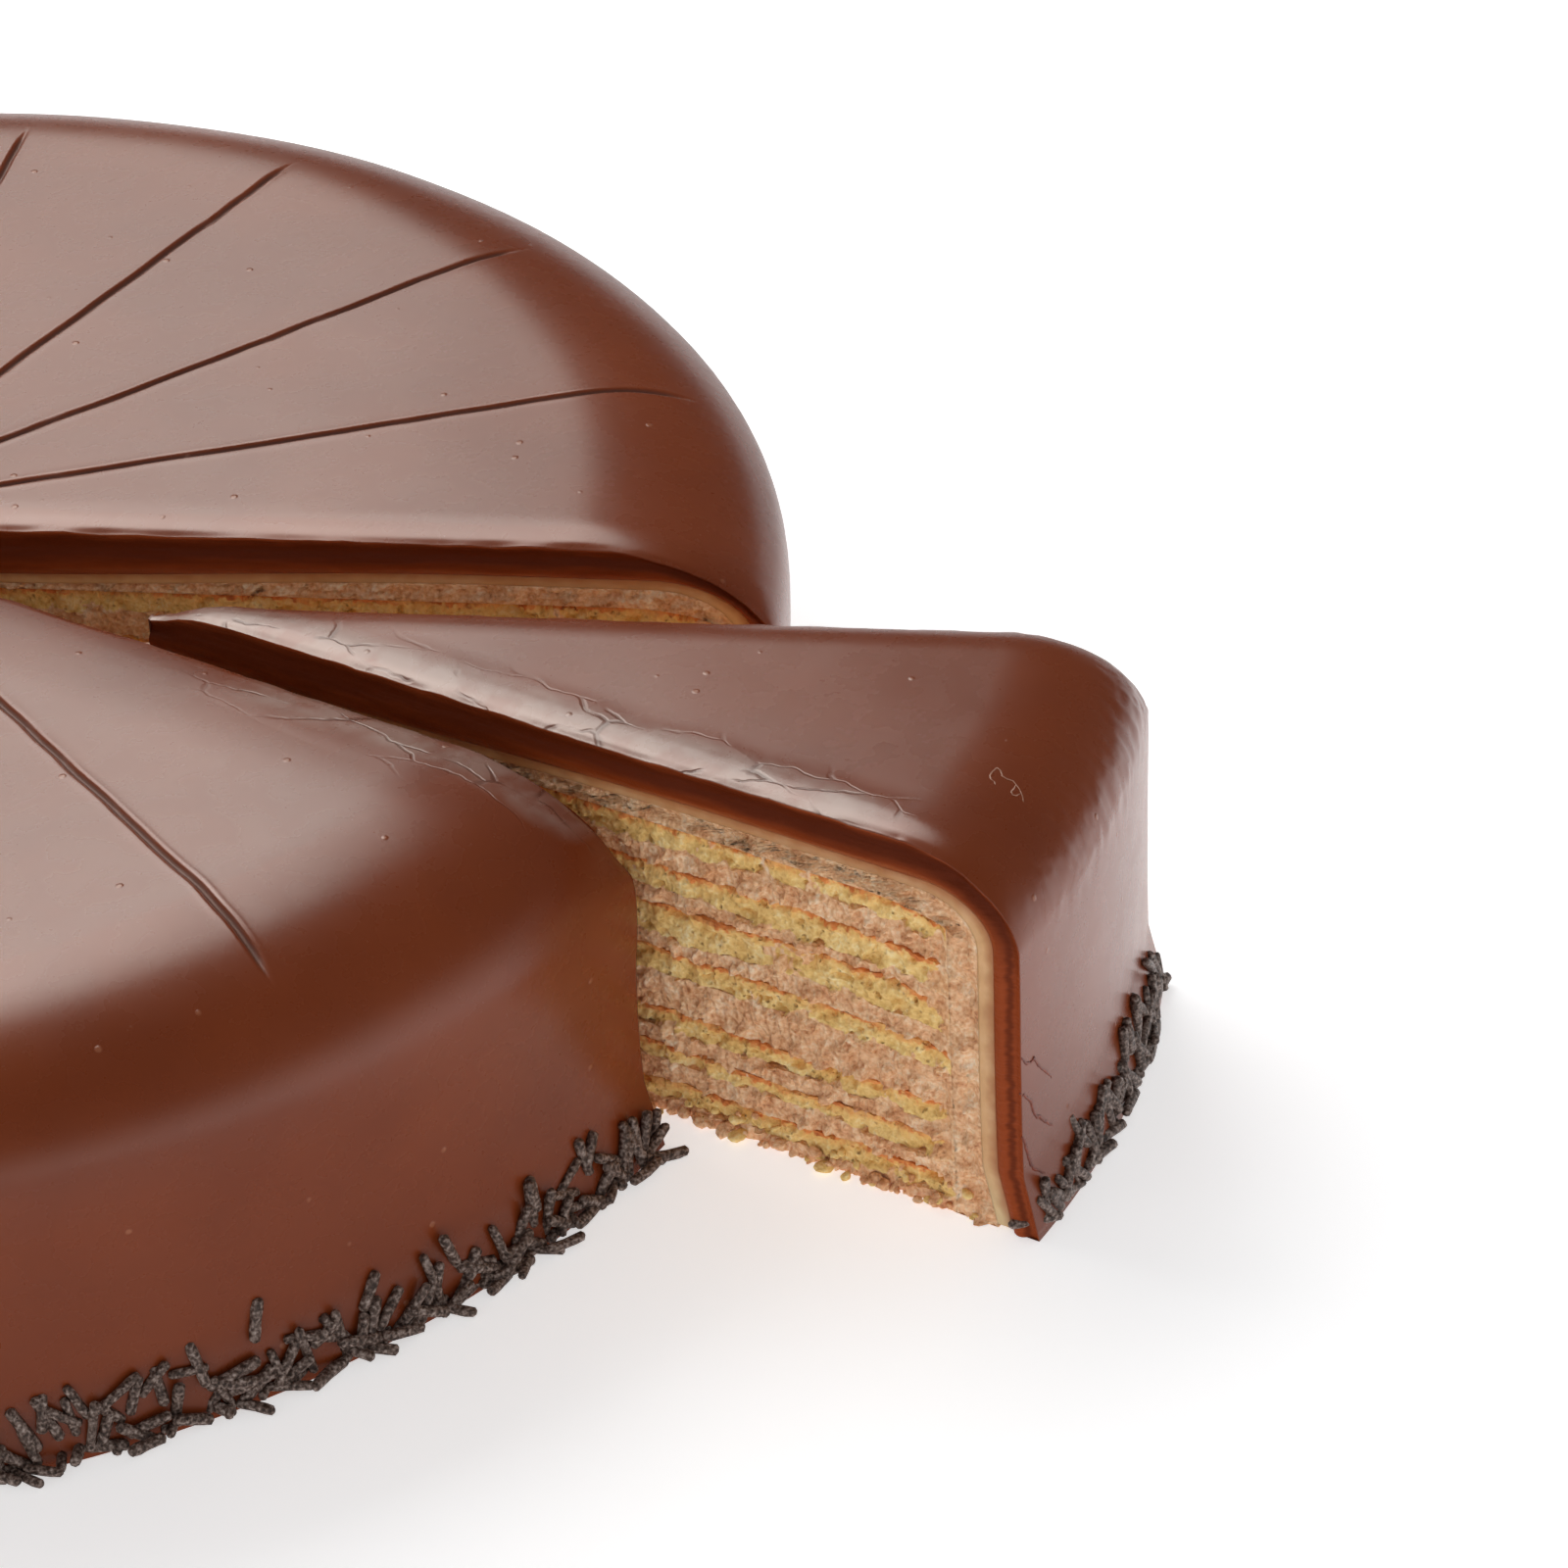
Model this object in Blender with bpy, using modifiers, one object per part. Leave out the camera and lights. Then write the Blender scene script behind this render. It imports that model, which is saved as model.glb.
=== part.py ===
# A prince regent torte: seven thin sponges with buttercream, a coat of buttercream, a sheet of
# marzipan and a thick chocolate glaze, scored for sixteen portions, with chocolate sprinkles
# round its foot. One portion is cut free and drawn part of the way out.
# Metres, +Z up. The frame's origin is at the middle of the whole thing, on the surface it stands on.

import math
import random

import bmesh
import bpy
from mathutils import Matrix, Vector

# the whole torte
RADIUS = 0.135            # outside of the glazed wall, at the shoulder
HEIGHT = 0.058
SEGMENTS = 48
GAP = 0.0003              # left between pieces that touch
MARZIPAN_FOOT = 0.0006    # the marzipan is trimmed just clear of the plate

# skins, from the outside in: thickness on top and on the wall
GLAZE_TOP = 0.0058
GLAZE_WALL = 0.0035
MARZIPAN_TOP = 0.0015
MARZIPAN_WALL = 0.0023
COAT_TOP = 0.0029
COAT_WALL = 0.0037
GLAZE_STEPS = 6
INNER_STEPS = 3

# each body's own form: the width and drop of each skin's shoulder, how far the wall stands out
# beyond RADIUS, how far it draws in above the foot, and how far the knife pulled the glaze down
CAKE_FORM = {
    "glaze": (0.0280, 0.0180),
    "marzipan": (0.0140, 0.0090),
    "coat": (0.0115, 0.0075),
    "spread": 0.0,
    "waist": 0.0012,
    "roll": 0.0016,
}
SLICE_FORM = {
    "glaze": (0.0180, 0.0130),
    "marzipan": (0.0100, 0.0078),
    "coat": (0.0085, 0.0068),
    "spread": 0.0008,
    "waist": 0.0003,
    "roll": 0.0005,
}
WAIST_HEIGHT = 0.018
FOOT_FLARE = 0.0020
FOOT_HEIGHT = 0.0095

# the stack inside the coat, from the bottom up
STACK = (
    ("cream_7", 0.0022),
    ("sponge_7", 0.0035),
    ("cream_6", 0.0028),
    ("sponge_6", 0.0028),
    ("cream_5", 0.0026),
    ("sponge_5", 0.0034),
    ("cream_4", 0.0061),
    ("sponge_4", 0.0035),
    ("cream_3", 0.0028),
    ("sponge_3", 0.0052),
    ("cream_2", 0.0019),
    ("sponge_2", 0.0037),
    ("cream_1", 0.0036),
    ("sponge_1", 0.0037),
)
STACK_RADIUS = RADIUS - GLAZE_WALL - MARZIPAN_WALL - COAT_WALL
EDGE_DROOP = 0.0022       # how far the topmost sponge sinks at its rim
DROOP_WIDTH = 0.012

# the cuts and the scores, as directions seen from above
FAR_CUT = math.radians(-21.6)
NEAR_CUT = math.radians(-45.6)
SCORES_AHEAD = (66.6, 44.1, 21.6, -0.9)
SCORES_BEHIND = -68.9
SCORES_HIDDEN = 9         # even scores between the first and the last of those above
SCORE_START = 0.005
SCORE_END = 0.118
SCORE_HALF_WIDTH = 0.0008
SCORE_DEPTH = 0.0016
SLICE_OUT = Vector((0.0406, -0.0328, 0.0))   # how far the portion is drawn out
CUT_ROLL_WIDTH = 0.0055   # the glaze sinks towards a cut over this width
CUT_ROLL_LOOPS = (0.35, 1.0)
WEDGE_TIP = 0.00005       # keeps the wedge's edge just off the axis

# chocolate sprinkles, pressed into the glaze round the foot
SPRINKLES_ON_CAKE = 76
SPRINKLES_ON_SLICE = 10
SPRINKLE_RADIUS = 0.00075
SPRINKLE_LENGTHS = (0.0040, 0.0064)
SPRINKLE_TIP = 0.6        # length of a pointed end, in radii
SPRINKLE_BAND = 0.0085
SPRINKLE_STRAY_HEIGHT = 0.017
SPRINKLE_STRAY_SHARE = 0.15
SPRINKLE_CROWDING = 1.5   # above 1 they crowd towards the foot
SPRINKLE_LEAN = 1.25      # radians from upright
SPRINKLE_PROUD = 0.15     # how far the middle of one stands off the wall, in radii
SPRINKLE_CLEARANCE = 0.0002
SPRINKLE_MARGIN = 0.03    # radians kept clear at each cut
SPRINKLE_SIDES = 6

# colour, roughness
FINISHES = {
    "glaze": ((0.150, 0.042, 0.018), 0.30),
    "marzipan": ((0.620, 0.400, 0.210), 0.60),
    "cream": ((0.560, 0.300, 0.180), 0.70),
    "sponge": ((0.600, 0.440, 0.170), 0.90),
}


def clear_scene():
    for thing in list(bpy.data.objects):
        bpy.data.objects.remove(thing, do_unlink=True)


def make_collection(name):
    collection = bpy.data.collections.new(name)
    bpy.context.scene.collection.children.link(collection)
    return collection


def make_material(name):
    colour, roughness = FINISHES[name]
    material = bpy.data.materials.new(name)
    material.use_nodes = True
    shader = material.node_tree.nodes["Principled BSDF"]
    shader.inputs["Base Color"].default_value = (*colour, 1.0)
    shader.inputs["Roughness"].default_value = roughness
    shader.inputs["Metallic"].default_value = 0.0
    return material


def add_object(name, mesh, collection, parent):
    thing = bpy.data.objects.new(name, mesh)
    collection.objects.link(thing)
    thing.parent = parent
    return thing


def add_empty(name, collection, parent, place):
    thing = add_object(name, None, collection, parent)
    thing.location = place
    return thing


def hide_cutter(thing):
    thing.hide_render = True
    thing.display_type = "WIRE"


# outlines, as points (radius, height) from the axis outwards and down

def wall_radius(form, height):
    # the outside of the glazed wall at a height
    waist = form["waist"] * math.exp(-(((height - WAIST_HEIGHT) / WAIST_HEIGHT) ** 2))
    foot = max(0.0, 1.0 - height / FOOT_HEIGHT)
    return RADIUS + form["spread"] - waist + FOOT_FLARE * foot


def skin_outline(form, skin, inset, top, steps, foot=0.0):
    width, drop = form[skin]
    shoulder = RADIUS + form["spread"] - inset - width
    points = [(0.0, top)]
    for step in range(steps + 1):
        turn = 0.5 * math.pi * step / steps
        points.append((shoulder + width * math.sin(turn), top - drop + drop * math.cos(turn)))
    for height in (WAIST_HEIGHT, FOOT_HEIGHT, foot):
        points.append((wall_radius(form, height) - inset, height))
    return points


def droop_at(radius, height):
    # the sponges sink towards their rims, the upper ones most
    share = max(0.0, (radius - STACK_RADIUS + DROOP_WIDTH) / DROOP_WIDTH)
    return EDGE_DROOP * share * share * height / HEIGHT


def sheet_edge(height, reach):
    # one face of a sheet of the stack, from the axis out to its rim
    radii = [0.0, reach - DROOP_WIDTH, reach]
    return [(radius, height - droop_at(radius, height)) for radius in radii]


def sheet_outline(bottom, top):
    return sheet_edge(top, STACK_RADIUS) + sheet_edge(bottom, STACK_RADIUS)[::-1]


def skins(form):
    glaze_in = GLAZE_WALL + GAP
    coat_in = glaze_in + MARZIPAN_WALL
    stack_top = HEIGHT - GLAZE_TOP - MARZIPAN_TOP - COAT_TOP
    under_glaze = HEIGHT - GLAZE_TOP
    under_marzipan = under_glaze - MARZIPAN_TOP
    glaze = skin_outline(form, "glaze", 0.0, HEIGHT, GLAZE_STEPS)
    glaze += skin_outline(form, "marzipan", GLAZE_WALL, under_glaze, INNER_STEPS)[::-1]
    marzipan = skin_outline(
        form, "marzipan", glaze_in, under_glaze - GAP, INNER_STEPS, MARZIPAN_FOOT
    )
    marzipan += skin_outline(
        form, "coat", coat_in - GAP, under_marzipan, INNER_STEPS, MARZIPAN_FOOT
    )[::-1]
    coat = skin_outline(form, "coat", coat_in, under_marzipan - GAP, INNER_STEPS)
    coat += [(STACK_RADIUS + GAP, 0.0)]
    coat += sheet_edge(stack_top, STACK_RADIUS + GAP)[::-1]
    return {"glaze": glaze, "marzipan": marzipan, "cream_coat": coat}


def sheets():
    outlines = {}
    bottom = 0.0
    for name, thickness in STACK:
        outlines[name] = sheet_outline(bottom, bottom + thickness - GAP)
        bottom += thickness
    return outlines


# solids

def turn_outline(name, outline, collection, parent, material):
    mesh = bpy.data.meshes.new(name)
    points = [(radius, 0.0, height) for radius, height in outline]
    edges = [(index, index + 1) for index in range(len(points) - 1)]
    mesh.from_pydata(points, edges, [])
    mesh.materials.append(material)
    thing = add_object(name, mesh, collection, parent)
    screw = thing.modifiers.new("turn", "SCREW")
    screw.axis = "Z"
    screw.angle = 2.0 * math.pi
    screw.steps = SEGMENTS
    screw.render_steps = SEGMENTS
    screw.use_merge_vertices = True
    screw.merge_threshold = 0.00001
    screw.use_smooth_shade = True
    return thing


def add_boolean(thing, cutter, operation):
    cut = thing.modifiers.new(operation.lower(), "BOOLEAN")
    cut.operation = operation
    cut.object = cutter
    cut.solver = "EXACT"


def make_wedge(name, collection, parent):
    # the cut portion, seen from above a triangle that reaches well past the wall
    reach = 2.0 * RADIUS
    middle = 0.5 * (FAR_CUT + NEAR_CUT)
    apex = Vector((math.cos(middle), math.sin(middle), 0.0)) * WEDGE_TIP
    model = bmesh.new()
    corners = [model.verts.new(apex - Vector((0.0, 0.0, HEIGHT)))]
    for angle in (NEAR_CUT, FAR_CUT):
        corners.append(model.verts.new((reach * math.cos(angle), reach * math.sin(angle), -HEIGHT)))
    base = model.faces.new(corners)
    raised = bmesh.ops.extrude_face_region(model, geom=[base])["geom"]
    tops = [part for part in raised if isinstance(part, bmesh.types.BMVert)]
    bmesh.ops.translate(model, verts=tops, vec=(0.0, 0.0, 3.0 * HEIGHT))
    bmesh.ops.recalc_face_normals(model, faces=model.faces)
    mesh = bpy.data.meshes.new(name)
    model.to_mesh(mesh)
    model.free()
    wedge = add_object(name, mesh, collection, parent)
    hide_cutter(wedge)
    return wedge


def score_angles():
    angles = [math.radians(angle) for angle in SCORES_AHEAD]
    first = math.radians(SCORES_AHEAD[0])
    last = math.radians(SCORES_BEHIND) + 2.0 * math.pi
    step = (last - first) / (SCORES_HIDDEN + 1)
    angles += [first + step * (index + 1) for index in range(SCORES_HIDDEN)]
    angles.append(last)
    return angles


def make_scores(collection, parent):
    # bars with a square section set on edge, half sunk in the top
    model = bmesh.new()
    length = SCORE_END - SCORE_START
    stretch = Matrix.Diagonal((SCORE_DEPTH, SCORE_HALF_WIDTH, length, 1.0))
    lay_down = Matrix.Rotation(0.5 * math.pi, 4, "Y")
    for angle in score_angles():
        direction = Vector((math.cos(angle), math.sin(angle), 0.0))
        middle = direction * 0.5 * (SCORE_START + SCORE_END) + Vector((0.0, 0.0, HEIGHT))
        place = Matrix.Translation(middle) @ Matrix.Rotation(angle, 4, "Z") @ lay_down @ stretch
        bmesh.ops.create_cone(
            model, cap_ends=True, segments=4, radius1=1.0, radius2=1.0, depth=1.0, matrix=place
        )
    mesh = bpy.data.meshes.new("scores")
    model.to_mesh(mesh)
    model.free()
    scores = add_object("scores", mesh, collection, parent)
    hide_cutter(scores)
    return scores


def bake_modifiers(thing):
    bpy.context.view_layer.update()
    graph = bpy.context.evaluated_depsgraph_get()
    mesh = bpy.data.meshes.new_from_object(thing.evaluated_get(graph))
    thing.modifiers.clear()
    thing.data = mesh


def glaze_top_at(form, radius):
    width, drop = form["glaze"]
    out = min(1.0, max(0.0, (radius - RADIUS - form["spread"] + width) / width))
    return HEIGHT - drop * (1.0 - math.sqrt(1.0 - out * out))


def roll_down(thing, form, angle, side):
    # lowers the top of the glaze towards one cut; side is 1 where the food lies left of the cut
    normal = Vector((-math.sin(angle), math.cos(angle), 0.0)) * side
    along = Vector((math.cos(angle), math.sin(angle), 0.0))
    start = 2.0 * SCORE_HALF_WIDTH
    model = bmesh.new()
    model.from_mesh(thing.data)
    for loop in CUT_ROLL_LOOPS:
        faces = [face for face in model.faces if max(vert.co.dot(along) for vert in face.verts) > start]
        edges = list({edge for face in faces for edge in face.edges})
        verts = list({vert for face in faces for vert in face.verts})
        bmesh.ops.bisect_plane(
            model, geom=faces + edges + verts, dist=0.000001,
            plane_co=normal * loop * CUT_ROLL_WIDTH, plane_no=normal
        )
    for vert in model.verts:
        distance = vert.co.dot(normal)
        top = glaze_top_at(form, math.hypot(vert.co.x, vert.co.y))
        on_top = vert.co.z > top - 1.2 * SCORE_DEPTH
        if -GAP < distance < CUT_ROLL_WIDTH and vert.co.dot(along) > start and on_top:
            share = 1.0 - max(0.0, distance) / CUT_ROLL_WIDTH
            fade = max(0.0, 1.0 - (HEIGHT - top) / form["glaze"][1])
            vert.co.z -= form["roll"] * share * share * fade
    model.to_mesh(thing.data)
    model.free()


def make_sprinkle(name, collection, parent, length, place):
    # a rod with pointed ends, from a coarse ball whose two rings are moved to the rod's ends
    model = bmesh.new()
    bmesh.ops.create_uvsphere(model, u_segments=SPRINKLE_SIDES, v_segments=3, radius=1.0)
    for vert in model.verts:
        ring = math.hypot(vert.co.x, vert.co.y)
        at_pole = ring < 0.1
        end = 0.5 * length if at_pole else 0.5 * length - SPRINKLE_TIP * SPRINKLE_RADIUS
        scale = 0.0 if at_pole else SPRINKLE_RADIUS / ring
        vert.co = Vector((vert.co.x * scale, vert.co.y * scale, math.copysign(end, vert.co.z)))
    mesh = bpy.data.meshes.new(name)
    model.to_mesh(mesh)
    model.free()
    sprinkle = add_object(name, mesh, collection, parent)
    sprinkle.matrix_local = place
    return sprinkle


def scatter_sprinkles(thing, form, count, start, end, seed, collection, parent):
    # the longest first, evenly round the foot, each lying against the wall and sunk into it
    draw = random.Random(seed)
    shortest, longest = SPRINKLE_LENGTHS
    golden = 0.5 * (math.sqrt(5.0) - 1.0)
    made = []
    for index in range(count):
        length = longest - (longest - shortest) * index / max(1, count - 1)
        share = (index * golden) % 1.0
        angle = start + (end - start) * share
        lean = draw.uniform(-SPRINKLE_LEAN, SPRINKLE_LEAN)
        stray = draw.random() > 1.0 - SPRINKLE_STRAY_SHARE
        rise = SPRINKLE_STRAY_HEIGHT if stray else SPRINKLE_BAND
        lowest = 0.5 * length * abs(math.cos(lean)) + SPRINKLE_RADIUS + SPRINKLE_CLEARANCE
        height = max(lowest, rise * draw.random() ** SPRINKLE_CROWDING)
        out = wall_radius(form, height) + SPRINKLE_PROUD * SPRINKLE_RADIUS
        spot = Vector((out * math.cos(angle), out * math.sin(angle), height))
        turn = Matrix.Rotation(angle, 4, "Z") @ Matrix.Rotation(lean, 4, "X")
        place = Matrix.Translation(spot) @ turn
        made.append(make_sprinkle("sprinkle", collection, parent, length, place))
    join = thing.modifiers.new("sprinkles", "BOOLEAN")
    join.operation = "UNION"
    join.operand_type = "COLLECTION"
    join.collection = collection
    join.solver = "EXACT"
    bake_modifiers(thing)
    for sprinkle in made:
        bpy.data.objects.remove(sprinkle, do_unlink=True)


def build_torte():
    clear_scene()
    parts = make_collection("prince_regent_torte")
    cutters = make_collection("cutters")
    loose = make_collection("sprinkles")
    materials = {name: make_material(name) for name in FINISHES}
    origin = add_empty("torte_origin", parts, None, (0.0, 0.0, 0.0))
    drawn_out = add_empty("slice_place", parts, origin, SLICE_OUT)
    cake_wedge = make_wedge("cake_wedge", cutters, origin)
    slice_wedge = make_wedge("slice_wedge", cutters, drawn_out)
    scores = make_scores(cutters, origin)

    built = []
    for body, form, parent, wedge, operation in (
        ("cake_", CAKE_FORM, origin, cake_wedge, "DIFFERENCE"),
        ("slice_", SLICE_FORM, drawn_out, slice_wedge, "INTERSECT"),
    ):
        outlines = {**skins(form), **sheets()}
        for name, outline in outlines.items():
            material = materials[name.split("_")[0]]
            thing = turn_outline(body + name, outline, parts, parent, material)
            add_boolean(thing, wedge, operation)
            built.append(thing)

    cake_glaze = bpy.data.objects["cake_glaze"]
    slice_glaze = bpy.data.objects["slice_glaze"]
    add_boolean(cake_glaze, scores, "DIFFERENCE")
    for glaze, form, side in ((cake_glaze, CAKE_FORM, 1.0), (slice_glaze, SLICE_FORM, -1.0)):
        bake_modifiers(glaze)
        roll_down(glaze, form, FAR_CUT, side)
        roll_down(glaze, form, NEAR_CUT, -side)

    around = NEAR_CUT + 2.0 * math.pi
    scatter_sprinkles(
        cake_glaze, CAKE_FORM, SPRINKLES_ON_CAKE,
        FAR_CUT + SPRINKLE_MARGIN, around - SPRINKLE_MARGIN, 5, loose, origin
    )
    scatter_sprinkles(
        slice_glaze, SLICE_FORM, SPRINKLES_ON_SLICE,
        NEAR_CUT + SPRINKLE_MARGIN, FAR_CUT - SPRINKLE_MARGIN, 8, loose, drawn_out
    )
    return origin, built


def centre_on_floor(origin, built):
    # moves everything so that the middle of the whole thing is over the frame's origin
    bpy.context.view_layer.update()
    graph = bpy.context.evaluated_depsgraph_get()
    corners = []
    for thing in built:
        shown = thing.evaluated_get(graph)
        mesh = shown.to_mesh()
        corners += [thing.matrix_world @ vert.co for vert in mesh.vertices]
        shown.to_mesh_clear()
    for axis in (0, 1):
        values = [corner[axis] for corner in corners]
        origin.location[axis] -= 0.5 * (min(values) + max(values))
    print("torte origin moved to", tuple(round(value, 6) for value in origin.location))


torte_origin, torte_parts = build_torte()
centre_on_floor(torte_origin, torte_parts)
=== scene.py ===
import math
import random

import bmesh
import bpy
import numpy as np
from mathutils import Matrix, Vector
from mathutils.bvhtree import BVHTree


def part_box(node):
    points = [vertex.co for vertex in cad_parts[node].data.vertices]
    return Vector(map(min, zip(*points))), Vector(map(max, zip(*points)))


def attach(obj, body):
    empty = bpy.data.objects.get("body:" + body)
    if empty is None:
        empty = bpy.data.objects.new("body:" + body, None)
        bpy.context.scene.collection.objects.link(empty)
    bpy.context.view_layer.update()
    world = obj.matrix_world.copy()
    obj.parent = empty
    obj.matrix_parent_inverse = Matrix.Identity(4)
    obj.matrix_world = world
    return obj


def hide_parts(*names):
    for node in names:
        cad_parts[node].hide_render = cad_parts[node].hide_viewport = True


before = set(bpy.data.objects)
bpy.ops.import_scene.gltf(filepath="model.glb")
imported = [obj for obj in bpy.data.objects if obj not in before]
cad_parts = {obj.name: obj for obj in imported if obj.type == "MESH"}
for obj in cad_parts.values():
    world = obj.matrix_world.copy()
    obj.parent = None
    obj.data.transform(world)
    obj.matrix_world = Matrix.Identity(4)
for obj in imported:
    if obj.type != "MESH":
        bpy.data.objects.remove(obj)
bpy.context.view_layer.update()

# sizes of the torte, in metres, read from its solids
sheetLow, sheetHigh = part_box("cake_sponge_4")
axisX = 0.5 * (sheetLow[0] + sheetHigh[0])  # the cake's own axis
axisY = 0.5 * (sheetLow[1] + sheetHigh[1])
stackRadius = 0.5 * (sheetHigh[1] - sheetLow[1])
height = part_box("cake_glaze")[1][2]
gap = 0.0003

torte = {
    "skins": 0.0095,  # glaze, marzipan and cream on the wall, together
    "farCut": -21.6,  # directions seen from above, degrees
    "nearCut": -45.6,
    "sliceOut": (0.0406, -0.0328),  # how far the portion is drawn out
    "waistHeight": 0.018,
    "footFlare": 0.0020,
    "footHeight": 0.0095,
}
radius = stackRadius + torte["skins"]
farCut = math.radians(torte["farCut"])
nearCut = math.radians(torte["nearCut"])
cakePlace = np.array([axisX, axisY])
slicePlace = cakePlace + np.array(torte["sliceOut"])
bodies = {  # place of the axis, then the directions of the first and the last cut
    "cake": (cakePlace, farCut, nearCut + 2.0 * math.pi),
    "slice": (slicePlace, nearCut, farCut),
}

layerNames = []  # from the bottom up
for number in range(7, 0, -1):
    layerNames += ["cream_%d" % number, "sponge_%d" % number]


def topOnAxis(name):
    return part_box("cake_" + name)[1][2]


# random fields for arrays of points

def hashed(ix, iy, iz, seed):
    mixed = (ix * 374761393 + iy * 668265263 + iz * 1274126177 + seed * 144269) & 0xFFFFFFFF
    mixed = ((mixed ^ (mixed >> 13)) * 1103515245) & 0xFFFFFFFF
    mixed = mixed ^ (mixed >> 16)
    return mixed / 2147483647.5 - 1.0


def grain(x, y, z, size, seed):
    # smooth noise between about -1 and 1, with features of the given size
    whole, part = [], []
    for value in np.broadcast_arrays(x, y, z):
        scaled = value / size
        floor = np.floor(scaled)
        whole.append(floor.astype(np.int64))
        share = scaled - floor
        part.append(share * share * (3.0 - 2.0 * share))
    total = 0.0
    for dx in (0, 1):
        for dy in (0, 1):
            for dz in (0, 1):
                corner = hashed(whole[0] + dx, whole[1] + dy, whole[2] + dz, seed)
                weight = (part[0] if dx else 1.0 - part[0]) * (part[1] if dy else 1.0 - part[1])
                total = total + corner * weight * (part[2] if dz else 1.0 - part[2])
    return total


def layered(x, y, z, size, seed, octaves=3):
    # noises of falling size, added up
    total, weight, share = 0.0, 0.0, 1.0
    for octave in range(octaves):
        total = total + share * grain(x, y, z, size, seed + 17 * octave)
        weight += share
        size, share = size * 0.47, share * 0.6
    return total / weight


def smooth(value, low, high):
    share = np.clip((value - low) / (high - low), 0.0, 1.0)
    return share * share * (3.0 - 2.0 * share)


# meshes

def band(low, high, size):
    # faces between two closed rings of points
    return [(low + k, low + (k + 1) % size, high + (k + 1) % size, high + k) for k in range(size)]


def makeMesh(name, verts, faces, place, materials, marks=None, cutFrom=None):
    # faces from cutFrom on take the second material
    mesh = bpy.data.meshes.new(name)
    shifted = np.array(verts, float)
    shifted[:, 0] += place[0]
    shifted[:, 1] += place[1]
    mesh.from_pydata(shifted.tolist(), [], faces)
    for key, values in (marks or {}).items():
        layer = mesh.attributes.new(key, "FLOAT", "POINT")
        layer.data.foreach_set("value", np.asarray(values, np.float32))
    for material in materials:
        mesh.materials.append(material)
    if len(materials) > 1:
        onCut = [int(index >= cutFrom) for index in range(len(faces))]
        mesh.polygons.foreach_set("material_index", onCut)
    model = bmesh.new()
    model.from_mesh(mesh)
    bmesh.ops.remove_doubles(model, verts=model.verts, dist=0.000002)
    bmesh.ops.recalc_face_normals(model, faces=model.faces)
    model.to_mesh(mesh)
    model.free()
    mesh.shade_smooth()
    piece = bpy.data.objects.new(name, mesh)
    bpy.context.scene.collection.objects.link(piece)
    return piece


def settle(piece, node):
    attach(piece, "root")
    if node:
        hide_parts(node)


# materials

def newMaterial(name):
    material = bpy.data.materials.new(name)
    material.use_nodes = True
    return material, material.node_tree, material.node_tree.nodes["Principled BSDF"]


def addNode(tree, kind, inputs=None, **settings):
    node = tree.nodes.new("ShaderNode" + kind)
    for key, value in settings.items():
        setattr(node, key, value)
    for key, value in (inputs or {}).items():
        if isinstance(value, bpy.types.NodeSocket):
            tree.links.new(value, node.inputs[key])
        else:
            node.inputs[key].default_value = value
    return node


def objectPoint(tree):
    return addNode(tree, "TexCoord").outputs["Object"]


def turnedPoint(tree, point, degrees, stretch):
    # the same place, turned about the z axis and then scaled
    turn = (0.0, 0.0, math.radians(degrees))
    turned = addNode(tree, "Mapping", {"Vector": point, "Rotation": turn}).outputs[0]
    return addNode(tree, "Mapping", {"Vector": turned, "Scale": stretch}).outputs[0]


def noiseAt(tree, point, size, detail=3.0, stretch=None):
    # a grey noise with features of the given size in metres
    if stretch:
        point = addNode(tree, "Mapping", {"Vector": point, "Scale": stretch}).outputs[0]
    inputs = {"Vector": point, "Scale": 1.0 / size, "Detail": detail}
    return addNode(tree, "TexNoise", inputs).outputs[0]


def rampAt(tree, value, stops):
    node = addNode(tree, "ValToRGB", {"Fac": value})
    elements = node.color_ramp.elements
    elements.remove(elements[1])
    elements[0].position = stops[0][0]
    elements[0].color = (*stops[0][1], 1.0)
    for place, colour in stops[1:]:
        elements.new(place).color = (*colour, 1.0)
    return node.outputs["Color"]


def stepAt(tree, value, low, high, toLow=0.0, toHigh=1.0):
    inputs = {"Value": value, "From Min": low, "From Max": high, "To Min": toLow, "To Max": toHigh}
    return addNode(tree, "MapRange", inputs).outputs[0]


def calc(tree, operation, a, b=0.0):
    return addNode(tree, "Math", {0: a, 1: b}, operation=operation).outputs[0]


def mixColour(tree, factor, a, b):
    a, b = [(*colour, 1.0) if isinstance(colour, tuple) else colour for colour in (a, b)]
    return addNode(tree, "Mix", {0: factor, 6: a, 7: b}, data_type="RGBA").outputs[2]


def markAt(tree, name):
    return addNode(tree, "Attribute", attribute_name=name).outputs["Fac"]


def bumpAt(tree, value, strength, depth, after=None):
    inputs = {"Height": value, "Strength": strength, "Distance": depth}
    if after is not None:
        inputs["Normal"] = after
    return addNode(tree, "Bump", inputs).outputs[0]


def voronoiAt(tree, point, size, feature="F1"):
    # distance from the nearest point, or wall, of cells of the given size
    node = addNode(tree, "TexVoronoi", {"Vector": point, "Scale": 1.0 / size}, feature=feature)
    return node.outputs["Distance"]


def vectorCalc(tree, operation, inputs):
    return addNode(tree, "VectorMath", inputs, operation=operation).outputs[0]


def warped(tree, point, size, amount):
    # the same place, pushed about by noise
    inputs = {"Vector": point, "Scale": 1.0 / size, "Detail": 2.0}
    push = addNode(tree, "TexNoise", inputs).outputs["Color"]
    push = vectorCalc(tree, "SUBTRACT", {0: push, 1: (0.5, 0.5, 0.5)})
    push = vectorCalc(tree, "SCALE", {0: push, "Scale": amount})
    return vectorCalc(tree, "ADD", {0: point, 1: push})


def setSockets(shader, values):
    for key, value in values.items():
        shader.inputs[key].default_value = value


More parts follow.
